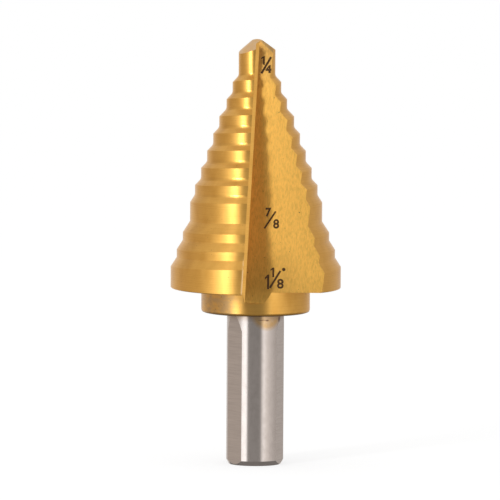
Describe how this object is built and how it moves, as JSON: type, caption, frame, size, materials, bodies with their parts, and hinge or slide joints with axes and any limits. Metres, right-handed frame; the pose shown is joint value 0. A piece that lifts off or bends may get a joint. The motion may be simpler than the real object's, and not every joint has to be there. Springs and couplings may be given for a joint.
{
  "type": "step drill",
  "caption": "Cone-shaped step drill with straight flutes through its stepped lands, gold-coated above a round steel shank with driving flats.",
  "frame": {"origin": "centre of the shank's end face", "axes": "+Z along the drill's axis towards the point, -Y out of the flute that carries the size marks"},
  "size_m": [0.0284, 0.0282, 0.0709],
  "materials": {
    "coated_steel": "Ground tool steel with a thin gold nitride coating on the steps, flutes, point and collar; the shank is bare ground steel."
  },
  "bodies": {
    "root": {"step_drill": "coated_steel"}
  },
  "joints": []
}
